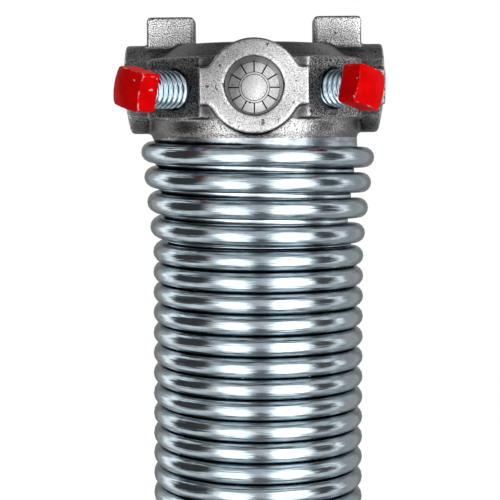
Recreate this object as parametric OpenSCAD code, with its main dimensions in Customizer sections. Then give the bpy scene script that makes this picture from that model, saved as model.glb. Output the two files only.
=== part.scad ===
// Garage door torsion spring: a left-hand coil of round wire, gripped at each end on the
// threads of a cast cone. The winding cone is on top, the stationary cone below.
// The origin is on the shaft axis, at the mounting face of the stationary cone.

/* [Coil] */
// Wire diameter (0.207 in)
wire_d = 5.26; // [4.9:0.02:5.5]
// Inside diameter of the coil (1 3/4 in)
coil_inner_d = 44.45; // [43:0.05:50]
// Number of turns
coil_turns = 96; // [40:1:110]
// Air left between two turns of the body
turn_gap = 0.05; // [0.04:0.01:0.2]
// Pitch of the turns that are spread on a cone's thread
thread_pitch = 6.5; // [6.3:0.05:7.2]
// Number of turns on each cone's thread
thread_turns = 4; // [4:1:6]
// How far the first turn on a cone stands out past the body's radius
end_flare = 3.0; // [2:0.1:3.4]

/* [Cone threads] */
// Clearance between the wire and the thread it lies in
thread_clearance = 0.12; // [0.05:0.01:0.2]
// Depth of the thread ridges' crests inside the wire's centre line
crest_drop = 1.2; // [0.6:0.05:1.4]
// Centre line of the first turn below the collar, or above the flange
first_turn_drop = 3.0; // [2.8:0.1:5]
// Clearance between the nose of a cone and the inside of the coil
nose_clearance = 0.35; // [0.2:0.05:1]
// Length of the plain nose past the last thread
nose_len = 6; // [4:0.5:10]

/* [Shaft] */
// Diameter of the shaft (1 in)
shaft_d = 25.4; // [24:0.1:26]
// Radial clearance of the shaft in both cones
shaft_clearance = 0.4; // [0.2:0.05:0.5]
// Chamfer at the ends of the shaft bores
bore_chamfer = 0.8; // [0.4:0.1:1.2]

/* [Winding cone collar] */
// Height of the collar from its lower edge to the socket centres
collar_below = 12.3; // [12:0.1:16]
// Height of the ledge above the socket centres
ledge_top = 7.5; // [6:0.1:9]
// Height of the hub's top above the socket centres
hub_top = 11.2; // [10.8:0.1:12.5]
// Outer radius of the hub's flat top
hub_r = 20; // [18:0.2:22]
// How far the screw pads reach below the socket centres
pad_below = 7.6; // [6.5:0.1:9]
// How far the neck above the coil stands out past the wire's centre line
neck_step = 1.65; // [1.2:0.05:2]
// How far the round skirt stands out past the neck
skirt_step = 1.1; // [0.6:0.1:2]
// How far the set screw pads stand out past the neck
pad_step = 1.5; // [1:0.1:2.5]
// How far the flats under the bosses lie inside the neck's radius
flat_drop = 0.2; // [0:0.1:0.8]

/* [Winding bar sockets] */
// Diameter of a winding bar (1/2 in)
bar_d = 12.7; // [11:0.1:13]
// Radial clearance of the bar in its socket
bar_clearance = 0.1; // [0.06:0.01:0.3]
// Wall between a socket's bottom and the shaft bore
socket_floor = 2.4; // [1.8:0.1:5]
// Length of the flare at a socket's mouth
mouth_len = 8; // [3:0.5:9]
// How much wider a socket's radius is at its mouth
mouth_flare = 0.5; // [0.3:0.05:1.5]
// Outer radius of the socket bosses
boss_r = 11.4; // [11.3:0.1:12.2]
// How far the bosses stand out past the collar's flats
boss_len = 6.7; // [6:0.1:10]
// Half height of the wings beside a boss
wing_half_h = 4.5; // [3:0.1:5.5]
// Radius of the fillets between a boss and its wings
wing_fillet = 2; // [1:0.1:3]
// Slope of the lower half of the side bosses' end faces, in degrees
end_slope = 5.5; // [1:0.5:7]

/* [Lugs] */
// Width of a lug along the line of the side sockets
lug_w = 12.3; // [8:0.1:14]
// Thickness of a lug
lug_t = 10; // [6:0.1:14]
// Height of the lugs above the socket centres
lug_top = 18.4; // [15:0.1:24]
// Distance of a lug's inner face from the axis
lug_inner = 15.2; // [14.5:0.1:17]
// Radius of a lug's upper corners
lug_corner = 0.8; // [0.4:0.1:2]

/* [Set screws] */
// Thread diameter (3/8 in)
screw_d = 9.52; // [8:0.02:10]
// Radial clearance of the screws in their holes
screw_clearance = 0.04; // [0.02:0.01:0.1]
// Length of the thread under the head
screw_len = 20; // [18:0.5:21.5]
// Width of the square head across its flats
head_w = 9.53; // [9:0.01:11]
// Height of the head at its centre
head_h = 6.7; // [5.5:0.1:8]
// Radius of the domed end of the head
head_dome_r = 14; // [11:0.5:30]
// Distance from the axis to the underside of the left screw's head
left_head_r = 37.4; // [37:0.1:40]
// Distance from the axis to the underside of the right screw's head
right_head_r = 34.1; // [33.4:0.1:38]
// How far the set screws lie below the socket centres
screw_drop = 0.5; // [0:0.1:1]
// Turn of the screw heads about their own axes, in degrees
head_turn = 15; // [0:1:45]

/* [Stationary cone] */
// Thickness of the flange
flange_t = 8; // [6:0.5:12]
// Radius of the flange's round middle
flange_r = 32; // [31:0.5:36]
// Distance between the two bolt holes
bolt_spacing = 73; // [70:0.5:86]
// Diameter of the flange bolts (3/8 in)
bolt_d = 9.52; // [8:0.02:10.5]
// Radial clearance of the flange bolts
bolt_clearance = 0.45; // [0.2:0.05:0.9]
// Radius of the rounded ears round the bolt holes
ear_r = 10.5; // [9.5:0.5:13]

/* [Hidden] */

// Facets of the wire's section, of its turns, and of everything else round
wire_fn = 40;
turn_fn = 64;
round_fn = 96;
// How far a cutting tool runs past the face that it opens, and a form into what carries it
over = 1;

// The coil: half turns are counted from the top, and even ones pass the front (-Y)
coil_r = (coil_inner_d + wire_d) / 2;
body_pitch = wire_d + turn_gap;
last_half = 2 * coil_turns;
thread_halves = 2 * thread_turns;
body_halves = last_half - 2 * thread_halves;
coil_low_z = flange_t + first_turn_drop;
coil_top_z = coil_low_z + 2 * thread_turns * thread_pitch + body_halves * body_pitch / 2;
// How many half turns are fused at a time
batch = 16;
// How far the beads between half turns stand out past the wire, and the arc left open inside them
bead_step = 0.015;
bead_turn = 0.3;
// Extra arc of thread that is cut past the end of the wire, in degrees
run_out = 10;

// The winding cone
bore_r = shaft_d / 2 + shaft_clearance;
socket_z = coil_top_z + first_turn_drop + collar_below;
neck_r = coil_r + neck_step;
flat_r = neck_r - flat_drop;
pad_r = neck_r + pad_step;
flat_half_w = pad_r * sqrt(2) - flat_r;
arm_reach = flat_r + boss_len;
socket_r = bar_d / 2 + bar_clearance;
socket_bottom = bore_r + socket_floor;
// The bosses start just inside the bore, and the wings inside the collar
boss_root = bore_r - 0.2;
wing_root = flat_r - 6;
// Rounded-off lower edge of the skirt, step under the hub, and chamfer of a plug's nose
skirt_edge = 1;
hub_step = 0.4;
nose_chamfer = 1;

// The set screws stand at 45 degrees on each side of the front socket
screw_angles = [-45, 45];
screw_hole_r = screw_d / 2 + screw_clearance;
tip_chamfer = 1.2;
head_corner_r = head_w / sqrt(2) - 0.45;
// How far the holes and the slope's cut reach past the walls that they pass
hole_run_in = 4;
slope_cut_t = 4;

function clamp(v, low, high) = min(max(v, low), high);

// Height of the wire's centre line after i half turns
function turn_z(i) =
    coil_top_z
    - (min(i, thread_halves) + max(0, i - last_half + thread_halves)) * thread_pitch / 2
    - clamp(i - thread_halves, 0, body_halves) * body_pitch / 2;

// Radius of the wire's centre line after i half turns
function flare(i) = end_flare * max(0, 1 - i / thread_halves);
function turn_r(i) = coil_r + flare(i) + flare(last_half - i);

// Whether a half turn lies in the close-wound body, where all of them are alike and meet exactly
function in_body(i) = i >= thread_halves && i < last_half - thread_halves;

// One half turn of wire, or the stretch of it between two angles (0 at its left or right start).
// On a thread it stops short of its ends, and a bead joins it to the half turn before.
module half_turn(i, d, from = 0, to = 180) {
    front = i % 2 == 0;
    drop = turn_z(i) - turn_z(i + 1);
    mean_r = (turn_r(i) + turn_r(i + 1)) / 2;
    shift = (turn_r(i + 1) - turn_r(i)) / 2;
    // The sine of the tilt is rounded, so that half turns that are alike meet without a step
    lean = round(drop / norm([2 * mean_r, drop]) * 1e6) / 1e6;
    slant_r = drop / (2 * lean);
    tilt = asin(lean);
    short = in_body(i) ? 0 : bead_turn;
    translate([0, 0, turn_z(i)]) {
        translate([front ? shift : -shift, 0, -drop / 2])
            rotate([0, front ? tilt : -tilt, 0])
                rotate_extrude(angle = to - from - 2 * short,
                               start = (front ? 180 : 0) + from + short, $fn = turn_fn)
                    translate([mean_r, 0])
                        translate([slant_r - mean_r, 0])
                            circle(d = d, $fn = wire_fn);
        if (from == 0 && !(in_body(i) && in_body(i - 1)))
            translate([front ? -turn_r(i) : turn_r(i), 0, 0])
                sphere(d = d + 2 * bead_step, $fn = wire_fn);
    }
}

// The wire of the whole coil, which starts at the back, a quarter turn before the first half turn
module coil() {
    color("silver")
        union() {
            half_turn(-1, wire_d, from = 90);
            for (first = [0:batch:last_half - 1])
                union()
                    for (i = [first:1:min(first + batch, last_half) - 1])
                        half_turn(i, wire_d);
        }
}

// The space that the coil's upper end takes in the winding cone's thread
module upper_thread() {
    d = wire_d + 2 * thread_clearance;
    half_turn(-1, d, from = 90 - run_out);
    for (i = [0:thread_halves + 1])
        half_turn(i, d);
}

// The space that the coil's lower end takes in the stationary cone's thread
module lower_thread() {
    d = wire_d + 2 * thread_clearance;
    half_turn(last_half, d, to = run_out);
    for (i = [last_half - thread_halves - 2:last_half - 1])
        half_turn(i, d);
}

// Outline of a cone's plug, from its face at height 0 down to the end of its nose
module plug_outline() {
    nose_r = coil_inner_d / 2 - nose_clearance;
    first_z = -first_turn_drop;
    last_z = first_z - (thread_turns - 0.5) * thread_pitch;
    nose_z = first_z - thread_turns * thread_pitch;
    polygon([
        [0, 0],
        [neck_r, 0],
        [neck_r, first_z + wire_d / 2],
        [turn_r(0) - crest_drop, first_z],
        [coil_r - crest_drop, last_z],
        [nose_r, nose_z],
        [nose_r, nose_z - nose_len + nose_chamfer],
        [nose_r - nose_chamfer, nose_z - nose_len],
        [0, nose_z - nose_len],
    ]);
}

// Shaft bore between two heights, chamfered at both ends
module shaft_bore(low, high) {
    translate([0, 0, low - over])
        cylinder(r = bore_r, h = high - low + 2 * over, $fn = round_fn);
    for (z = [low, high])
        translate([0, 0, z])
            mirror([0, 0, z == low ? 0 : 1])
                translate([0, 0, -over])
                    cylinder(r1 = bore_r + bore_chamfer + over, r2 = bore_r, h = bore_chamfer + over,
                             $fn = round_fn);
}

// Collar of the winding cone: four flats for the bosses and four screw pads between them
module collar() {
    pad_height = ledge_top + pad_below;
    translate([0, 0, -pad_below])
        linear_extrude(pad_height)
            intersection() {
                square(2 * flat_r, center = true);
                rotate(45)
                    square(2 * pad_r, center = true);
            }
    rotate_extrude($fn = round_fn)
        polygon([
            [0, -collar_below],
            [neck_r, -collar_below],
            [neck_r + skirt_step / 2, skirt_edge - collar_below],
            [neck_r + skirt_step, -pad_below],
            [0, -pad_below],
        ]);
    translate([0, 0, ledge_top - over])
        cylinder(r = flat_r - over, h = over + hub_step, $fn = round_fn);
    translate([0, 0, ledge_top + hub_step])
        cylinder(r1 = flat_r - over, r2 = hub_r, h = hub_top - ledge_top - hub_step, $fn = round_fn);
}

// Face of a boss with its wings, filleted where they meet
module wing_outline() {
    fillet_z = wing_half_h + wing_fillet;
    fillet_x = sqrt(pow(boss_r + wing_fillet, 2) - pow(fillet_z, 2));
    touch = boss_r / (boss_r + wing_fillet);
    square([2 * flat_half_w, 2 * wing_half_h], center = true);
    for (x = [-1, 1], y = [-1, 1])
        to_quarter(x, y)
            difference() {
                polygon([
                    [fillet_x, 0],
                    [fillet_x, fillet_z],
                    [fillet_x * touch, fillet_z * touch],
                    [fillet_x * touch - over, 0],
                ]);
                translate([fillet_x, fillet_z])
                    circle(r = wing_fillet, $fn = wire_fn);
            }
}

// Mirrors a flat shape to one of the four quarters
module to_quarter(x, y) {
    mirror([x < 0 ? 1 : 0, 0])
        mirror([0, y < 0 ? 1 : 0])
            children();
}

// One socket boss with its wings, reaching out to the front
module boss() {
    rotate([90, 0, 0]) {
        translate([0, 0, boss_root])
            cylinder(r = boss_r, h = arm_reach - boss_root, $fn = round_fn);
        translate([0, 0, wing_root])
            linear_extrude(arm_reach - wing_root)
                wing_outline();
    }
}

// One blind socket for a winding bar, open to the front
module socket() {
    rotate([90, 0, 0]) {
        translate([0, 0, socket_bottom])
            cylinder(r = socket_r, h = arm_reach - socket_bottom + over, $fn = round_fn);
        translate([0, 0, arm_reach - mouth_len])
            cylinder(r1 = socket_r, r2 = socket_r + mouth_flare, h = mouth_len, $fn = round_fn);
        translate([0, 0, arm_reach])
            cylinder(r = socket_r + mouth_flare, h = over, $fn = round_fn);
    }
}

// One lug, with its upper corners rounded
module lug() {
    translate([lug_inner, lug_t / 2, 0])
        rotate([90, 0, 0])
            linear_extrude(lug_t) {
                translate([0, ledge_top - over])
                    square([lug_w, lug_top - ledge_top + over - lug_corner]);
                translate([lug_corner, lug_top - lug_corner - over])
                    square([lug_w - 2 * lug_corner, lug_corner + over]);
                for (x = [lug_corner, lug_w - lug_corner])
                    translate([x, lug_top - lug_corner])
                        circle(r = lug_corner, $fn = wire_fn);
            }
}

// What the sloped lower half of a side boss's end face takes away
module end_slope_cut() {
    translate([arm_reach, -boss_r - over, 0])
        rotate([0, end_slope, 0])
            translate([0, 0, -collar_below - over])
                cube([slope_cut_t, 2 * (boss_r + over), collar_below + over]);
}

// Hole for a set screw, from inside the shaft bore out past its pad
module screw_hole(angle) {
    rotate([0, 0, angle])
        rotate([90, 0, 0])
            translate([0, -screw_drop, bore_r - hole_run_in])
                cylinder(r = screw_hole_r, h = pad_r - bore_r + hole_run_in + over, $fn = round_fn);
}

module winding_cone() {
    color([0.62, 0.62, 0.63])
        difference() {
            translate([0, 0, socket_z]) {
                translate([0, 0, -collar_below])
                    rotate_extrude($fn = round_fn)
                        plug_outline();
                collar();
                for (turn = [0:90:270])
                    rotate([0, 0, turn])
                        boss();
                for (turn = [0, 180])
                    rotate([0, 0, turn])
                        lug();
            }
            translate([0, 0, socket_z]) {
                for (turn = [0:90:270])
                    rotate([0, 0, turn])
                        socket();
                for (turn = [0, 180])
                    rotate([0, 0, turn])
                        end_slope_cut();
                for (angle = screw_angles)
                    screw_hole(angle);
            }
            shaft_bore(coil_top_z - thread_turns * thread_pitch - nose_len, socket_z + hub_top);
            upper_thread();
        }
}

// Flange of the stationary cone, with two eared bolt holes
module flange() {
    linear_extrude(flange_t)
        difference() {
            union() {
                circle(r = flange_r, $fn = round_fn);
                square([bolt_spacing, 2 * ear_r], center = true);
                for (x = [-bolt_spacing / 2, bolt_spacing / 2])
                    translate([x, 0])
                        circle(r = ear_r, $fn = round_fn);
            }
            for (x = [-bolt_spacing / 2, bolt_spacing / 2])
                translate([x, 0])
                    circle(r = bolt_d / 2 + bolt_clearance, $fn = round_fn);
        }
}

module stationary_cone() {
    color([0.62, 0.62, 0.63])
        difference() {
            union() {
                flange();
                translate([0, 0, flange_t])
                    mirror([0, 0, 1])
                        rotate_extrude($fn = round_fn)
                            plug_outline();
            }
            shaft_bore(0, coil_low_z + thread_turns * thread_pitch + nose_len);
            lower_thread();
        }
}

// Square-headed set screw, pointing out to the front, with the underside of its head at head_r
module set_screw(head_r) {
    rotate([90, 0, 0]) {
        translate([0, 0, head_r - screw_len]) {
            cylinder(r1 = screw_d / 2 - tip_chamfer, r2 = screw_d / 2, h = tip_chamfer, $fn = round_fn);
            translate([0, 0, tip_chamfer])
                cylinder(d = screw_d, h = screw_len - tip_chamfer + over, $fn = round_fn);
        }
        translate([0, 0, head_r])
            intersection() {
                translate([-head_w / 2, -head_w / 2, 0])
                    cube([head_w, head_w, head_h]);
                cylinder(r = head_corner_r, h = head_h, $fn = round_fn);
                translate([0, 0, head_h - head_dome_r])
                    sphere(r = head_dome_r, $fn = round_fn);
            }
    }
}

// Places a screw at its angle round the axis, with its head turned about its own axis
module placed_screw(angle, head_r) {
    color("red")
        translate([0, 0, socket_z - screw_drop])
            rotate([0, 0, angle])
                rotate([0, head_turn, 0])
                    set_screw(head_r);
}

module set_screw_left() {
    placed_screw(screw_angles[0], left_head_r);
}

module set_screw_right() {
    placed_screw(screw_angles[1], right_head_r);
}

coil();
winding_cone();
stationary_cone();
set_screw_left();
set_screw_right();
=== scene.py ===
import math

import bmesh
import bpy
import numpy as np
from mathutils import Matrix, Vector


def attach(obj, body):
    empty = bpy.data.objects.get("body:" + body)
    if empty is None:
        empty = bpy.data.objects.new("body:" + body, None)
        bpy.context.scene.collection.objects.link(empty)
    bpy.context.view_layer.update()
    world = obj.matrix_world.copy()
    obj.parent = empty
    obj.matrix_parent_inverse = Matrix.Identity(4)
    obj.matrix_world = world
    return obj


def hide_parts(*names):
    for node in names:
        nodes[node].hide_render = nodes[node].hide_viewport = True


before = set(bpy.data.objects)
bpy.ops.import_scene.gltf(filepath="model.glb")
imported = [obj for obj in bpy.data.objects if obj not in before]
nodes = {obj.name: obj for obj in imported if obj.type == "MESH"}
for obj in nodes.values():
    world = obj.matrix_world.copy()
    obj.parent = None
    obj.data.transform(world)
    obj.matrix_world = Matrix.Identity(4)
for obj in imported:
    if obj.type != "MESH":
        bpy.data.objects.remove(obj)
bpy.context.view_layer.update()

MM = 0.001

# ---------------------------------------------------------------- sizes in millimetres

# The coil, in step with the part's source
WIRE_R = 2.63
COIL_R = 24.855
TURNS = 96
THREAD_TURNS = 4
THREAD_PITCH = 6.5
BODY_PITCH = 5.31
END_FLARE = 3.0
COIL_LOW_Z = 11
COIL_TOP_Z = 530.28

# How the real coil sits on its cone: it leans, and its upper turns are shifted sideways
COIL_LEAN = math.radians(1.3)
COIL_SHIFT = 0.9
COIL_SHIFT_DEPTH = 96

# The winding cone's last crest, which this scene adds as a ridge: its half sizes, how deep its
# middle lies inside the wire's centre line, and the half turns between which it shows
CREST_HALF_DEPTH = 1.2
CREST_HALF_WIDTH = 0.42
CREST_SINK = 2.0
CREST_START = 5.75
CREST_END = 7.2

# The winding cone's sockets and the set screws, in step with the part's source
SOCKET_Z = 545.58
SOCKET_R = 6.45
SOCKET_BOTTOM = 15.5
SCREW_R = 4.76
SCREW_LEN = 20.0
SCREW_DROP = 0.5
HEAD_W = 9.53
HEAD_H = 6.7
DOME_R = 14.0
HEAD_TURN = 15.0

# The screws' thread, which only this scene has
SCREW_PITCH = 1.5875
THREAD_DEPTH = 0.6

# Where the castings change their finish: heights, and distances from the axis
PLUG_LOW_Z = 8.2
PLUG_HIGH_Z = SOCKET_Z - 12.5
PLUG_CORE_R = 15
SKIRT_HIGH_Z = SOCKET_Z - 7.8
SKIRT_R = 28.5
COLLAR_LOW_Z = SOCKET_Z - 12
COLLAR_R = 27.5
PAD_HALF_HEIGHT = 8
PAD_R = 27
FRONT_HALF_HEIGHT = 14
FRONT_R = 26
LUG_LOW_Z = SOCKET_Z + 11
LUG_R = 17
BOSS_HALF_HEIGHT = 7.5

# The threads' crests as the coil has rubbed them, and the painted shade down their flanks: their depth
# inside the wire's centre line at the first turn, the least depth, the depth of a flank over which the
# painted shade comes on, and how fast they widen towards a collar
CREST_DROP = 1.2
LEAST_DROP = 0.75
FLANK_DEPTH = 1.6
CREST_SLOPE = 0.149


# ---------------------------------------------------------------- meshes

def new_mesh(name, verts, faces, smooth=True):
    mesh = bpy.data.meshes.new(name)
    mesh.from_pydata([tuple(v) for v in verts], [], [tuple(f) for f in faces])
    mesh.update()
    if smooth:
        mesh.polygons.foreach_set("use_smooth", [True] * len(mesh.polygons))
    obj = bpy.data.objects.new(name, mesh)
    bpy.context.scene.collection.objects.link(obj)
    return obj


def grid_faces(rows, cols):
    """Quads between rows of points that each close into a ring."""
    i, j = np.meshgrid(np.arange(rows - 1), np.arange(cols), indexing="ij")
    k = (j + 1) % cols
    quads = np.stack([i * cols + j, i * cols + k, (i + 1) * cols + k, (i + 1) * cols + j], -1)
    return quads.reshape(-1, 4)


def tube_mesh(name, rings, ends_out, flat_ends):
    """A tube through rings of points, with one face over each end that looks out or in."""
    rows, sides = rings.shape[:2]
    ends = [list(range(sides))[::-1], list(range((rows - 1) * sides, rows * sides))]
    if not ends_out:
        ends = [end[::-1] for end in ends]
    obj = new_mesh(name, rings.reshape(-1, 3) * MM, grid_faces(rows, sides).tolist() + ends)
    for end in obj.data.polygons[-2:]:
        end.use_smooth = not flat_ends
    return obj


def wire_path(s):
    """Centre line of the wire, s half turns on from the side of the winding cone.

    The lean dies out over the last half turns, at the stationary cone.
    """
    half = 2 * THREAD_TURNS
    last = 2 * TURNS
    body = last - 2 * half
    half_turns_to_settle = 24

    def height(t):
        threads = np.minimum(t, half) + np.maximum(0, t - last + half)
        return COIL_TOP_Z - threads * THREAD_PITCH / 2 - np.clip(t - half, 0, body) * BODY_PITCH / 2

    def flare(t):
        return END_FLARE * np.maximum(0, 1 - t / half)

    def radius(t):
        return COIL_R + flare(t) + flare(last - t)

    angle = math.pi * (1 + s)
    r = radius(np.maximum(s, 0))
    settled = np.clip((last - s) / half_turns_to_settle, 0, 1)
    x, y = r * np.cos(angle), r * np.sin(angle)
    shift = COIL_SHIFT * np.clip(1 - (COIL_TOP_Z - height(s)) / COIL_SHIFT_DEPTH, 0, 1)
    return np.stack([x + shift, y, height(s) + math.tan(COIL_LEAN) * settled * x], -1)


def outwards(s):
    """Directions away from the axis, s half turns on along the wire."""
    angle = math.pi * (1 + s)
    return np.stack([np.cos(angle), np.sin(angle), np.zeros_like(s)], -1)


def coil_mesh(name):
    """The wire as one smooth helix, from its cut end at the back of the winding cone downwards.

    Its attribute wire holds each point's place along and across the wire, in millimetres.
    """
    first = -0.5
    last = 2 * TURNS
    per_half = 32
    sides = 16
    s = np.linspace(first, last, int((last - first) * per_half) + 1)
    path = wire_path(s)
    tangent = np.gradient(path, axis=0)
    tangent /= np.linalg.norm(tangent, axis=1)[:, None]
    out = outwards(s)
    out -= tangent * (out * tangent).sum(1)[:, None]
    out /= np.linalg.norm(out, axis=1)[:, None]
    up = np.cross(tangent, out)
    a = np.linspace(0, 2 * math.pi, sides, endpoint=False)
    ring = out[:, None] * np.cos(a)[None, :, None] + up[:, None] * np.sin(a)[None, :, None]
    obj = tube_mesh(name, path[:, None] + WIRE_R * ring, ends_out=False, flat_ends=True)
    length = np.concatenate([[0], np.cumsum(np.linalg.norm(np.diff(path, axis=0), axis=1))])
    along = np.repeat(length, sides)
    across = np.tile(np.stack([np.cos(a), np.sin(a)], -1) * WIRE_R, (len(s), 1))
    wire = obj.data.attributes.new("wire", "FLOAT_VECTOR", "POINT")
    wire.data.foreach_set("vector", np.column_stack([along, across]).ravel())
    return obj


def last_crest(name, start, end):
    """The last crest of the winding cone's thread, between the turns at s and s + 2 half turns."""
    steps = 64
    sides = 16
    run_out = 0.12
    s = np.linspace(start, end, steps)
    path = (wire_path(s) + wire_path(s + 2)) / 2
    ends = np.clip(np.minimum(s - start, end - s) / run_out, 0, 1)
    sunk = CREST_SINK + CREST_HALF_DEPTH * (1 - np.sqrt(ends * (2 - ends)))
    a = np.linspace(0, 2 * math.pi, sides, endpoint=False)
    depth = CREST_HALF_DEPTH * np.cos(a) - sunk[:, None]
    rings = path[:, None] + outwards(s)[:, None] * depth[..., None]
    rings[..., 2] += CREST_HALF_WIDTH * np.sin(a)
    return tube_mesh(name, rings, ends_out=False, flat_ends=False)


def copy_of(node_name, name):
    obj = bpy.data.objects.new(name, nodes[node_name].data.copy())
    obj.data.materials.clear()
    bpy.context.scene.collection.objects.link(obj)
    return obj


def apply_modifiers(obj):
    graph = bpy.context.evaluated_depsgraph_get()
    mesh = bpy.data.meshes.new_from_object(obj.evaluated_get(graph))
    obj.modifiers.clear()
    obj.data = mesh
    mesh.polygons.foreach_set("use_smooth", [True] * len(mesh.polygons))


def soften(obj, voxel, rounds, faces_left):
    """Turns sharp solids into cast ones: even cells, edges worn round, then fewer faces."""
    remesh = obj.modifiers.new("cells", "REMESH")
    remesh.mode = "VOXEL"
    remesh.voxel_size = voxel * MM
    smooth = obj.modifiers.new("wear", "SMOOTH")
    smooth.factor = 0.5
    smooth.iterations = rounds
    apply_modifiers(obj)
    tris = sum(len(p.vertices) - 2 for p in obj.data.polygons)
    if tris > faces_left:
        fewer = obj.modifiers.new("fewer", "DECIMATE")
        fewer.ratio = faces_left / tris
        apply_modifiers(obj)
    return obj


def mark_edges(obj):
    """Keeps how sharply each vertex stands out, so that a material can be worn along the edges, which
    also paints a highlight there.
    """
    mesh = obj.data
    count = len(mesh.vertices)
    usual_neighbours = 4
    co = np.empty(count * 3)
    mesh.vertices.foreach_get("co", co)
    co = co.reshape(-1, 3)
    normal = np.array([v.normal[:] for v in mesh.vertices])
    ends = np.empty(len(mesh.edges) * 2, dtype=int)
    mesh.edges.foreach_get("vertices", ends)
    out = np.zeros(count)
    for here, there in (ends.reshape(-1, 2).T, ends.reshape(-1, 2).T[::-1]):
        step = co[here] - co[there]
        step /= np.linalg.norm(step, axis=1)[:, None]
        np.add.at(out, here, (normal[here] * step).sum(1) / usual_neighbours)
    edge = mesh.attributes.new("edge", "FLOAT", "POINT")
    edge.data.foreach_set("value", np.clip(out, 0, 1))


def point_outwards(obj, angle, distance, height=SOCKET_Z):
    """Turns a piece that was made along +Z to point outwards, at an angle round the axis."""
    m = (Matrix.Translation((0, 0, height * MM))
         @ Matrix.Rotation(math.radians(angle), 4, "Z")
         @ Matrix.Rotation(math.radians(90), 4, "X")
         @ Matrix.Translation((0, 0, distance * MM)))
    obj.data.transform(m)
    obj.data.update()


def ease(t):
    """A share from 0 to 1 with soft ends."""
    return t * t * (3 - 2 * t)


def thread_mesh(name, length):
    """A set screw's thread along +Z from its chamfered tip at 0."""
    cols = 64
    per_pitch = 12
    play = 0.01
    steepness = 1.35
    crest_share = 0.18
    tip_chamfer = 1.2
    rows = int(length / SCREW_PITCH * per_pitch) + 1
    z = np.linspace(0, length, rows)
    a = np.linspace(0, 2 * math.pi, cols, endpoint=False)
    zz, aa = np.meshgrid(z, a, indexing="ij")
    phase = np.mod(zz / SCREW_PITCH - aa / (2 * math.pi), 1)
    flank = np.clip(np.abs(phase - 0.5) * 2 * steepness - crest_share, 0, 1)
    cut = THREAD_DEPTH * (ease(flank) * 0.5 + flank * 0.5)
    r = np.minimum(SCREW_R - play - cut, SCREW_R - tip_chamfer + zz)
    rings = np.stack([r * np.cos(aa), r * np.sin(aa), zz], -1)
    return tube_mesh(name, rings, ends_out=True, flat_ends=True)


def head_mesh(name):
    """A square head with a domed end and blunted corners, along +Z from its underside at 0."""
    corner_loss = 0.45
    bm = bmesh.new()
    bmesh.ops.create_cube(bm, size=1)
    bmesh.ops.scale(bm, vec=(HEAD_W * MM, HEAD_W * MM, HEAD_H * MM), verts=bm.verts)
    bmesh.ops.translate(bm, vec=(0, 0, HEAD_H / 2 * MM), verts=bm.verts)
    mesh = bpy.data.meshes.new(name)
    bm.to_mesh(mesh)
    bm.free()
    head = bpy.data.objects.new(name, mesh)
    bpy.context.scene.collection.objects.link(head)
    cutters = []
    bpy.ops.mesh.primitive_uv_sphere_add(segments=96, ring_count=64, radius=DOME_R * MM,
                                         location=(0, 0, (HEAD_H - DOME_R) * MM))
    cutters.append(bpy.context.object)
    bpy.ops.mesh.primitive_cylinder_add(vertices=96, radius=(HEAD_W / math.sqrt(2) - corner_loss) * MM,
                                        depth=4 * HEAD_H * MM)
    cutters.append(bpy.context.object)
    for cutter in cutters:
        cut = head.modifiers.new("cut", "BOOLEAN")
        cut.operation = "INTERSECT"
        cut.object = cutter
        cut.solver = "EXACT"
    apply_modifiers(head)
    for cutter in cutters:
        bpy.data.objects.remove(cutter)
    soften(head, voxel=0.16, rounds=4, faces_left=90000)
    mark_edges(head)
    return head


def socket_wheel(name):
    """The twelve-part ring cast in a socket's bottom, along +Z, with its back face at 0."""
    sectors = 12
    arc_steps = 10
    ring_steps = 64
    outer = SOCKET_R - 0.03
    ring_out = 3.75
    ring_in = 3.35
    pinhole = 0.01
    gap = 0.17
    height = 0.5
    hub_height = 0.4
    verts, faces = [], []

    def arc(radius, k):
        lean = math.asin(gap / radius)
        start = math.radians(360 / sectors * k)
        end = math.radians(360 / sectors * (k + 1))
        angles = np.linspace(start + lean, end - lean, arc_steps)
        return [(radius * math.cos(t), radius * math.sin(t)) for t in angles]

    for k in range(sectors):
        loop = arc(ring_out + gap, k) + arc(outer, k)[::-1]
        base = len(verts)
        top = base + len(loop)
        verts += [(x, y, 0) for x, y in loop] + [(x, y, height) for x, y in loop]
        for i in range(len(loop)):
            j = (i + 1) % len(loop)
            faces.append([base + i, base + j, top + j, top + i])
        for i in range(arc_steps - 1):
            across = top + len(loop) - 1 - i
            faces.append([top + i + 1, across - 1, across, top + i])
    t = np.linspace(0, 2 * math.pi, ring_steps, endpoint=False)
    for r_out, r_in, top in ((ring_out, ring_in, height), (ring_in - gap, pinhole, hub_height)):
        base = len(verts)
        for radius, z in ((r_out, 0), (r_out, top), (r_in, top), (r_in, 0)):
            verts += [(radius * math.cos(x), radius * math.sin(x), z) for x in t]
        faces += (grid_faces(4, ring_steps) + base).tolist()
    return new_mesh(name, np.array(verts) * MM, faces, smooth=False)


# ---------------------------------------------------------------- materials

def material(name, metallic, roughness):
    mat = bpy.data.materials.new(name)
    mat.use_nodes = True
    tree = mat.node_tree
    shader = tree.nodes["Principled BSDF"]
    shader.inputs["Metallic"].default_value = metallic
    shader.inputs["Roughness"].default_value = roughness
    return mat, tree, shader


def empty_material(name):
    mat = bpy.data.materials.new(name)
    mat.use_nodes = True
    mat.node_tree.nodes.clear()
    return mat, mat.node_tree


def node(tree, kind, **values):
    """A new node. Each value goes to the input of that name, or else to the node's own setting."""
    n = tree.nodes.new(kind)
    for key, value in values.items():
        if key in n.inputs:
            n.inputs[key].default_value = value
        else:
            setattr(n, key, value)
    return n


def object_coords(tree):
    return node(tree, "ShaderNodeTexCoord").outputs["Object"]


def attribute(tree, name, output):
    return node(tree, "ShaderNodeAttribute", attribute_name=name).outputs[output]


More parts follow.
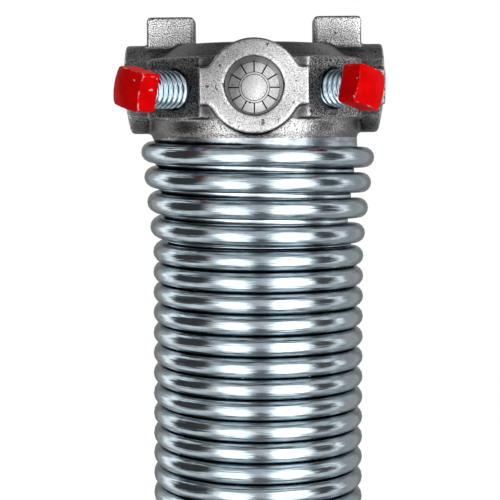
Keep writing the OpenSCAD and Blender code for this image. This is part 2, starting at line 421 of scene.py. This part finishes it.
def noise(tree, coords, scale, detail, rough, stretch=None):
    if stretch:
        mapping = node(tree, "ShaderNodeMapping", Scale=stretch)
        tree.links.new(coords, mapping.inputs["Vector"])
        coords = mapping.outputs["Vector"]
    n = node(tree, "ShaderNodeTexNoise", Scale=scale, Detail=detail, Roughness=rough)
    tree.links.new(coords, n.inputs["Vector"])
    return n.outputs["Fac"]


def grey(level):
    return (level, level, level)


def ramp(tree, fac, stops):
    """Stops are places with their colours."""
    n = node(tree, "ShaderNodeValToRGB")
    elements = n.color_ramp.elements
    while len(elements) < len(stops):
        elements.new(0.5)
    for element, (place, color) in zip(elements, stops):
        element.position = place
        element.color = (*color, 1)
    tree.links.new(fac, n.inputs["Fac"])
    return n.outputs["Color"]


def grey_ramp(tree, fac, stops):
    """Stops are places with their grey levels."""
    return ramp(tree, fac, [(place, grey(level)) for place, level in stops])


def mix(tree, fac, a, b, mode="MIX"):
    n = node(tree, "ShaderNodeMix", data_type="RGBA", blend_type=mode)
    for socket, value in ((n.inputs[0], fac), (n.inputs[6], a), (n.inputs[7], b)):
        if isinstance(value, bpy.types.NodeSocket):
            tree.links.new(value, socket)
        elif isinstance(value, float):
            socket.default_value = value
        else:
            socket.default_value = (*value, 1)
    return n.outputs[2]


def times(tree, a, b):
    """Two colours multiplied."""
    return mix(tree, 1.0, a, b, "MULTIPLY")


def maths(tree, operation, a, b=None):
    n = node(tree, "ShaderNodeMath", operation=operation)
    for socket, value in zip(n.inputs, (a, b)):
        if isinstance(value, bpy.types.NodeSocket):
            tree.links.new(value, socket)
        elif value is not None:
            socket.default_value = value
    return n.outputs[0]


def map_range(tree, value, low, high, to_low, to_high):
    n = node(tree, "ShaderNodeMapRange")
    for key, limit in (("From Min", low), ("From Max", high), ("To Min", to_low), ("To Max", to_high)):
        n.inputs[key].default_value = limit
    tree.links.new(value, n.inputs["Value"])
    return n.outputs["Result"]


def split(tree, vector):
    """A vector's x, y and z."""
    parts = node(tree, "ShaderNodeSeparateXYZ")
    tree.links.new(vector, parts.inputs[0])
    return parts.outputs


def bump(tree, shader, height, strength, distance):
    n = node(tree, "ShaderNodeBump", Strength=strength, Distance=distance * MM)
    tree.links.new(height, n.inputs["Height"])
    tree.links.new(n.outputs["Normal"], shader.inputs["Normal"])


def hollows(tree, distance):
    """How open the place is to its surroundings: 0 in a hollow, 1 on a free face. The materials darken
    their colour with it, as painted shade.
    """
    return node(tree, "ShaderNodeAmbientOcclusion", samples=10, Distance=distance * MM).outputs["AO"]


def zinc_material(name, dark, light, lines=None):
    """Bright zinc: a cool grey with faint clouds and painted shade in its hollows, and the lines that
    the die drew along a wire.
    """
    mat, tree, shader = material(name, 1.0, 0.12)
    coords = object_coords(tree)
    cloud = noise(tree, coords, scale=160, detail=3, rough=0.6)
    color = ramp(tree, cloud, [(0.3, dark), (0.7, light)])
    # Painted shade: the colour darkens in hollows, such as the gaps between the turns.
    painted_hollow_shade = grey_ramp(tree, hollows(tree, 2.5), [(0.06, 0.16), (0.42, 1.0)])
    tree.links.new(times(tree, color, painted_hollow_shade), shader.inputs["Base Color"])
    smears = noise(tree, coords, scale=300, detail=3, rough=0.6)
    tree.links.new(map_range(tree, smears, 0, 1, 0.06, 0.20), shader.inputs["Roughness"])
    if lines:
        wire = attribute(tree, lines, "Vector")
        drawn = noise(tree, wire, scale=1.0, detail=3, rough=0.6, stretch=(0.045, 1.3, 1.3))
        bump(tree, shader, drawn, strength=0.5, distance=0.34)
    return mat


def painted_side_shade(tree, coords, lit_x, by_z, low, high, least):
    """Painted shade towards one side: 1 where there is none, and least where it is deepest.

    The painted shade comes on away from a line of constant x, and the drop below the sockets' centres,
    times by_z, holds it off. Low and high are the fully shaded and the unshaded end, in millimetres.
    """
    x, _, z = split(tree, coords)
    away = maths(tree, "ABSOLUTE", maths(tree, "SUBTRACT", x, lit_x * MM))
    across = maths(tree, "MULTIPLY", away, -1 / MM)
    down = maths(tree, "MULTIPLY", maths(tree, "SUBTRACT", SOCKET_Z * MM, z), by_z / MM)
    return map_range(tree, maths(tree, "ADD", across, down), low, high, least, 1)


def cast_material(name, grains, rough, relief, reach, shade, side_shading=None):
    """As-cast aluminium: fine light and dark grains, with painted shade in its hollows and, for some
    finishes, painted shade that grows away from one side.

    Grains and shade are ramps of grey; shade sets how dark the painted shade in a hollow is. Reach is
    how far off a face still shades a hollow, in millimetres, and relief is how strongly the grain
    stands out.
    """
    mat, tree, shader = material(name, 1.0, rough)
    coords = object_coords(tree)
    color = grey_ramp(tree, noise(tree, coords, scale=3600, detail=2, rough=0.7), grains)
    tone = noise(tree, coords, scale=90, detail=3, rough=0.6)
    color = times(tree, color, grey_ramp(tree, tone, [(0.35, 0.72), (0.65, 1.0)]))
    pits = noise(tree, coords, scale=800, detail=1, rough=0.4)
    color = times(tree, color, grey_ramp(tree, pits, [(0.26, 0.25), (0.285, 1.0)]))
    # Painted shade that grows away from one side.
    if side_shading:
        color = times(tree, color, painted_side_shade(tree, coords, **side_shading))
    # Painted shade in the hollows.
    painted_hollow_shade = grey_ramp(tree, hollows(tree, reach), shade)
    tree.links.new(times(tree, color, painted_hollow_shade), shader.inputs["Base Color"])
    sand = noise(tree, coords, scale=1700, detail=3, rough=0.7)
    bump(tree, shader, sand, strength=relief, distance=0.15)
    return mat


def crest_material(name):
    """The cones' threads where the coil has rubbed them: bright on the rubbed crests, with painted
    shade, near black, down the flanks.
    """
    mat, tree, shader = material(name, 1.0, 0.28)
    coords = object_coords(tree)
    x, y, z = split(tree, coords)
    squares = maths(tree, "ADD", maths(tree, "MULTIPLY", x, x), maths(tree, "MULTIPLY", y, y))
    radius = maths(tree, "SQRT", squares)
    middle = (COIL_LOW_Z + COIL_TOP_Z) / 2 * MM
    first_turn = (COIL_TOP_Z - THREAD_PITCH / 2) * MM - middle
    away = maths(tree, "ABSOLUTE", maths(tree, "SUBTRACT", z, middle))
    wider = maths(tree, "MULTIPLY", maths(tree, "SUBTRACT", away, first_turn), CREST_SLOPE)
    crest = maths(tree, "ADD", wider, (COIL_R + END_FLARE - CREST_DROP) * MM)
    crest = maths(tree, "MINIMUM", crest, (COIL_R + END_FLARE - LEAST_DROP) * MM)
    depth = maths(tree, "DIVIDE", maths(tree, "SUBTRACT", crest, radius), FLANK_DEPTH * MM)
    grain = noise(tree, coords, scale=900, detail=2, rough=0.6, stretch=(0.3, 0.3, 1.0))
    ragged = maths(tree, "MULTIPLY", maths(tree, "SUBTRACT", grain, 0.5), 0.25)
    bright = (0.62, 0.69, 0.75)
    dull = (0.42, 0.48, 0.53)
    # Bright where rubbed on the crests; down the flanks the colour falls to near black, as painted
    # shade between the turns.
    rubbed = ramp(tree, maths(tree, "ADD", depth, ragged),
                  [(0.20, bright), (0.30, dull), (0.46, grey(0.06)), (1.0, grey(0.02))])
    tree.links.new(rubbed, shader.inputs["Base Color"])
    return mat


def paint_material(name):
    """Glossy red paint with painted shade in its hollows, rubbed lighter along its edges, which also
    paints an edge highlight, with a few chips down to zinc.
    """
    rubbed_paint_and_highlight = (0.92, 0.60, 0.60)
    bare_zinc = (0.55, 0.58, 0.62)
    mat, tree, shader = material(name, 0.0, 0.3)
    shader.inputs["Specular IOR Level"].default_value = 0.02
    coords = object_coords(tree)
    cloud = noise(tree, coords, scale=300, detail=3, rough=0.6)
    red = ramp(tree, cloud, [(0.35, (0.66, 0.0, 0.001)), (0.65, (0.84, 0.001, 0.002))])
    # Painted shade in the hollows.
    red = times(tree, red, grey_ramp(tree, hollows(tree, 3), [(0.2, 0.35), (0.7, 1.0)]))
    # Lighter along the edges: rubbed paint, and a painted edge highlight.
    rub = maths(tree, "SUBTRACT", noise(tree, coords, scale=420, detail=3, rough=0.6), 0.42)
    worn = maths(tree, "MULTIPLY", attribute(tree, "edge", "Fac"), maths(tree, "MAXIMUM", rub, 0.0))
    red = mix(tree, grey_ramp(tree, worn, [(0.008, 0.0), (0.025, 0.8)]), red, rubbed_paint_and_highlight)
    flakes = noise(tree, coords, scale=620, detail=2, rough=0.5)
    chips = grey_ramp(tree, flakes, [(0.715, 0.0), (0.73, 1.0)])
    tree.links.new(mix(tree, chips, red, bare_zinc), shader.inputs["Base Color"])
    waves = noise(tree, coords, scale=240, detail=3, rough=0.6)
    bump(tree, shader, waves, strength=0.15, distance=0.15)
    return mat


zinc = zinc_material("zinc_wire", (0.28, 0.34, 0.375), (0.39, 0.45, 0.485), lines="wire")
screw_zinc = zinc_material("zinc_screw", (0.22, 0.30, 0.36), (0.36, 0.44, 0.51))
# Each casting finish has painted shade in its hollows; the skirt, pads, front and socket wheels also
# have painted shade that grows away from one side.
body_cast = cast_material(
    "cast_aluminium", grains=[(0.38, 0.03), (0.46, 0.30), (0.56, 0.52)], rough=0.33, relief=0.9,
    reach=14, shade=[(0.2, 0.04), (0.7, 0.20), (0.97, 1.0)])
skirt_cast = cast_material(
    "cast_skirt", grains=[(0.38, 0.05), (0.46, 0.40), (0.56, 0.66)], rough=0.22, relief=0.5,
    reach=8, shade=[(0.42, 0.08), (0.85, 1.0)],
    side_shading=dict(lit_x=2, by_z=0, low=-24, high=-8, least=0.22))
pad_cast = cast_material(
    "cast_pads", grains=[(0.42, 0.02), (0.52, 0.22), (0.60, 0.9)], rough=0.30, relief=1.0,
    reach=20, shade=[(0.1, 0.05), (0.8, 0.7)],
    side_shading=dict(lit_x=25, by_z=0, low=-55, high=-15, least=0.4))
lug_cast = cast_material(
    "cast_lugs", grains=[(0.42, 0.03), (0.48, 0.47), (0.55, 0.96)], rough=0.33, relief=0.9,
    reach=14, shade=[(0.2, 0.04), (0.7, 0.30), (0.95, 1.0)])
front_cast = cast_material(
    "cast_front", grains=[(0.36, 0.20), (0.46, 0.46), (0.58, 0.68)], rough=0.28, relief=0.6,
    reach=14, shade=[(0.2, 0.04), (0.7, 0.20), (0.97, 1.0)],
    side_shading=dict(lit_x=16, by_z=1.0, low=-33, high=-10, least=0.38))
# The socket wheels: painted shade in the grooves and towards one side of the socket.
wheel_cast = cast_material(
    "cast_wheel", grains=[(0.3, 0.6), (0.6, 0.98)], rough=0.28, relief=0.1,
    reach=0.8, shade=[(0.3, 0.03), (0.62, 1.0)],
    side_shading=dict(lit_x=6, by_z=0.2, low=-10.5, high=-5, least=0.3))
rubbed_and_shaded_thread = crest_material("rubbed_thread_painted_shade")
paint = paint_material("red_paint")


# ---------------------------------------------------------------- the part

# Slots of a casting's materials, in this order. They are lighter and darker copies of one cast
# aluminium, partly each region's own finish and partly painted light and shade.
BODY, THREAD, SKIRT, PAD, LUG, FRONT = range(6)
casting_materials = (body_cast, rubbed_and_shaded_thread, skirt_cast, pad_cast, lug_cast, front_cast)


def casting_slot(face):
    """The slot of one face of a casting, from its place and from the way it looks."""
    squarely = 0.8
    nearly_diagonal = 0.5
    height = face.center.z / MM
    off_sockets = abs(height - SOCKET_Z)
    reach = math.hypot(face.center.x, face.center.y) / MM
    off_diagonal = abs(abs(face.normal.x) - abs(face.normal.y)) + abs(face.normal.z)
    outward = (face.center.x * face.normal.x + face.center.y * face.normal.y) / (max(reach, 1) * MM)
    beside_boss = off_sockets > BOSS_HALF_HEIGHT or abs(face.normal.y) < squarely
    if PLUG_LOW_Z < height < PLUG_HIGH_Z and reach > PLUG_CORE_R:
        return THREAD
    if PLUG_HIGH_Z <= height < SKIRT_HIGH_Z and reach < SKIRT_R:
        return SKIRT
    if off_sockets < PAD_HALF_HEIGHT and off_diagonal < nearly_diagonal and reach > PAD_R:
        return PAD
    if off_sockets < FRONT_HALF_HEIGHT and outward > squarely and reach > FRONT_R:
        return FRONT
    if height > LUG_LOW_Z and reach > LUG_R:
        return LUG
    if height > COLLAR_LOW_Z and reach > COLLAR_R and beside_boss:
        return LUG
    return BODY


coil = coil_mesh("wire_coil")
coil.data.materials.append(zinc)
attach(coil, "spring")
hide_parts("coil")

ridge = last_crest("thread_crest", CREST_START, CREST_END)
ridge.data.materials.append(rubbed_and_shaded_thread)
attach(ridge, "spring")

castings = (("winding_cone", "winding_casting"), ("stationary_cone", "stationary_casting"))
for node_name, piece_name in castings:
    piece = soften(copy_of(node_name, piece_name), voxel=0.4, rounds=12, faces_left=190000)
    for mat in casting_materials:
        piece.data.materials.append(mat)
    for face in piece.data.polygons:
        face.material_index = casting_slot(face)
    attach(piece, "spring")
    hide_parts(node_name)

off_bottom = 0.02
for k in range(4):
    wheel = socket_wheel("socket_wheel_%d" % (k + 1))
    point_outwards(wheel, 90 * k, SOCKET_BOTTOM + off_bottom)
    wheel.data.materials.append(wheel_cast)
    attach(wheel, "spring")

screw_z = SOCKET_Z - SCREW_DROP
into_head = 0.5
for side, angle, head_r in (("left", -45, 37.4), ("right", 45, 34.1)):
    thread = thread_mesh("thread_" + side, SCREW_LEN + into_head)
    point_outwards(thread, angle, head_r - SCREW_LEN, screw_z)
    thread.data.materials.append(screw_zinc)
    head = head_mesh("head_" + side)
    head.data.transform(Matrix.Rotation(math.radians(-HEAD_TURN), 4, "Z"))
    point_outwards(head, angle, head_r, screw_z)
    head.data.materials.append(paint)
    for piece in (thread, head):
        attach(piece, side + "_screw")
    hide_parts("set_screw_" + side)


# ---------------------------------------------------------------- stage

def pale_rays(tree):
    """1 for the rays that see the pale background: from the camera, in a reflection, through glass."""
    path = node(tree, "ShaderNodeLightPath")
    seen = maths(tree, "MAXIMUM", path.outputs["Is Camera Ray"], path.outputs["Is Glossy Ray"])
    return maths(tree, "MAXIMUM", seen, path.outputs["Is Transmission Ray"])


def floor_material(name, level, glow):
    """A matt pale surface. Glow lifts it only for the rays that see the background."""
    mat, tree = empty_material(name)
    diffuse = node(tree, "ShaderNodeBsdfDiffuse", Color=(*grey(level), 1))
    light = node(tree, "ShaderNodeEmission")
    tree.links.new(maths(tree, "MULTIPLY", pale_rays(tree), glow), light.inputs["Strength"])
    both = node(tree, "ShaderNodeAddShader")
    tree.links.new(diffuse.outputs[0], both.inputs[0])
    tree.links.new(light.outputs[0], both.inputs[1])
    tree.links.new(both.outputs[0], node(tree, "ShaderNodeOutputMaterial").inputs["Surface"])
    return mat


def studio_world(name, diffuse_level):
    """White for the rays that see the background, dimmer where it lights the object."""
    world = bpy.data.worlds.new(name)
    bpy.context.scene.world = world
    world.use_nodes = True
    tree = world.node_tree
    tree.nodes.clear()
    back = node(tree, "ShaderNodeBackground", Color=(1, 1, 1, 1))
    tree.links.new(map_range(tree, pale_rays(tree), 0, 1, diffuse_level, 1), back.inputs["Strength"])
    tree.links.new(back.outputs[0], node(tree, "ShaderNodeOutputWorld").inputs["Surface"])


def pale_floor(name, half, z):
    corners = [(-half, -half, z), (half, -half, z), (half, half, z), (-half, half, z)]
    obj = new_mesh(name, corners, [(0, 1, 2, 3)], smooth=False)
    obj.data.materials.append(floor_material("pale_floor", level=0.8, glow=0.68))


def window(v, low, high, soft):
    """1 between two limits, fading out to 0 past them."""
    up = np.clip((v - low + soft) / (2 * soft), 0, 1)
    down = np.clip((high - v + soft) / (2 * soft), 0, 1)
    return ease(up) * ease(down)


def patch(az, el, az_mid, el_mid, half_az, half_el, soft):
    """1 inside a rounded patch of the wall, fading out to 0 past its rim."""
    roundness = 2.4
    across = np.abs((az - az_mid) / half_az) ** roundness
    upwards = np.abs((el - el_mid) / half_el) ** roundness
    out = (across + upwards) ** (1 / roundness)
    return ease(np.clip((1 + soft - out) / (2 * soft), 0, 1))


def studio(az, el):
    """How bright the studio is in each direction from the cone, in degrees.

    Azimuth 0 is the camera's side, and azimuths grow to the picture's right.
    """
    level = 0.6 + 0.35 * window(az, -60, 60, 12)
    ragged = az + 3.5 * np.sin(el * 0.26 + 1) + 2.2 * np.sin(el * 0.66 + 2)
    # Middle azimuth and elevation, half width and height, softness of the rim, brightness
    for az_mid, el_mid, half_az, half_el, soft, value in (
            # A bright screen on the left, a brighter strip behind it and a dark panel before it
            (-86, 0, 38, 54, 0.20, 1.35),
            (-112, 10, 11, 34, 0.45, 2.1),
            (-79, 8, 28, 37, 0.14, 0.08),
            # The same on the right
            (78, 0, 26, 50, 0.20, 1.2),
            (95, 4, 8, 28, 0.45, 2.1),
            (76, 2, 17, 31, 0.20, 0.13),
            # Two lit windows beside the camera, and a dark strip below it
            (-26, -21, 18, 42, 0.22, 3.4),
            (36, -11, 22, 48, 0.22, 3.8),
            (2, -66, 12, 44, 0.18, 0.25)):
        part = patch(ragged, el, az_mid, el_mid, half_az, half_el, soft)
        level = level * (1 - part) + value * part
    # Lowest and highest azimuth and elevation, softness of both, brightness
    for az_low, az_high, el_low, el_high, soft_az, soft_el, value in (
            # The dim wall at the back, and the dark above it
            (-181, -142, -40, 95, 6, 10, 0.3),
            (142, 181, -40, 95, 6, 10, 0.3),
            (-181, -115, 42, 95, 10, 12, 0.05),
            (115, 181, 42, 95, 10, 12, 0.05),
            # The shaded floor under the object, and the dark ceiling
            (-181, 181, -95, -60, 1, 8, 0.25),
            (-181, 181, 54, 95, 1, 12, 0.06)):
        part = window(az, az_low, az_high, soft_az) * window(el, el_low, el_high, soft_el)
        level = level * (1 - part) + value * part
    return level


def studio_wall(name, radius, low, centre_z):
    """A wall all round, seen only in reflections. Where it would go lower, it lies flat at low."""
    step = 2.0
    az = np.arange(-180, 180, step)
    el = np.arange(-88, 90, step)
    e, a = np.meshgrid(el, az, indexing="ij")
    flat = radius * np.cos(np.radians(e))
    z = centre_z + radius * np.sin(np.radians(e))
    reach = (low - centre_z) / np.tan(np.radians(np.minimum(e, -1)))
    below = z < low
    flat = np.where(below, reach, flat)
    z = np.where(below, low, z)
    verts = np.stack([flat * np.sin(np.radians(a)), -flat * np.cos(np.radians(a)), z], -1)
    obj = new_mesh(name, verts.reshape(-1, 3), grid_faces(len(el), len(az)))
    power = obj.data.attributes.new("power", "FLOAT", "POINT")
    power.data.foreach_set("value", studio(a, e).ravel())
    mat, tree = empty_material("studio_light")
    glow = node(tree, "ShaderNodeEmission")
    tree.links.new(attribute(tree, "power", "Fac"), glow.inputs["Strength"])
    tree.links.new(glow.outputs[0], node(tree, "ShaderNodeOutputMaterial").inputs["Surface"])
    obj.data.materials.append(mat)
    for kind in ("camera", "diffuse", "shadow", "transmission"):
        setattr(obj, "visible_" + kind, False)


def softbox(name, azimuth, elevation, power):
    """A lamp that lights matt surfaces and casts the shadow, aimed at the upper part of the coil."""
    target = Vector((0, 0, 0.45))
    distance = 1.3
    lamp = bpy.data.lights.new(name, "AREA")
    lamp.shape = "RECTANGLE"
    lamp.size = 0.8
    lamp.size_y = 0.9
    lamp.energy = power
    obj = bpy.data.objects.new(name, lamp)
    bpy.context.scene.collection.objects.link(obj)
    a, e = math.radians(azimuth), math.radians(elevation)
    away = Vector((math.sin(a) * math.cos(e), -math.cos(a) * math.cos(e), math.sin(e)))
    obj.location = target + away * distance
    obj.rotation_mode = "QUATERNION"
    obj.rotation_quaternion = away.to_track_quat("Z", "Y")
    obj.visible_glossy = False


studio_world("studio", diffuse_level=0.4)
pale_floor("floor", half=8, z=-0.0005)
studio_wall("studio_wall", radius=0.6, low=0.004, centre_z=0.53)
softbox("softbox_left", azimuth=-40, elevation=10, power=0.4)
softbox("softbox_right", azimuth=44, elevation=14, power=9.6)


# ---------------------------------------------------------------- camera

# The focal length in widths of the picture, the camera's place in millimetres and its turns in degrees
FOCAL_WIDTHS = 2.96
CAMERA_X = 1.25
CAMERA_DISTANCE = 386.6
CAMERA_DROP = 10.8
CAMERA_YAW = 0.41
CAMERA_TILT = 4.6
CAMERA_ROLL = -0.5

camera = bpy.data.cameras.new("camera")
camera.sensor_width = 36
camera.lens = FOCAL_WIDTHS * camera.sensor_width
camera.clip_start = 0.01
camera.clip_end = 50
view = bpy.data.objects.new("camera", camera)
bpy.context.scene.collection.objects.link(view)
view.location = (CAMERA_X * MM, -CAMERA_DISTANCE * MM, (SOCKET_Z - CAMERA_DROP) * MM)
view.rotation_mode = "QUATERNION"
view.rotation_quaternion = (Matrix.Rotation(math.radians(CAMERA_YAW), 3, "Z")
                            @ Matrix.Rotation(math.radians(90 - CAMERA_TILT), 3, "X")
                            @ Matrix.Rotation(math.radians(CAMERA_ROLL), 3, "Z")).to_quaternion()
bpy.context.scene.camera = view
bpy.context.scene.view_settings.view_transform = "Standard"
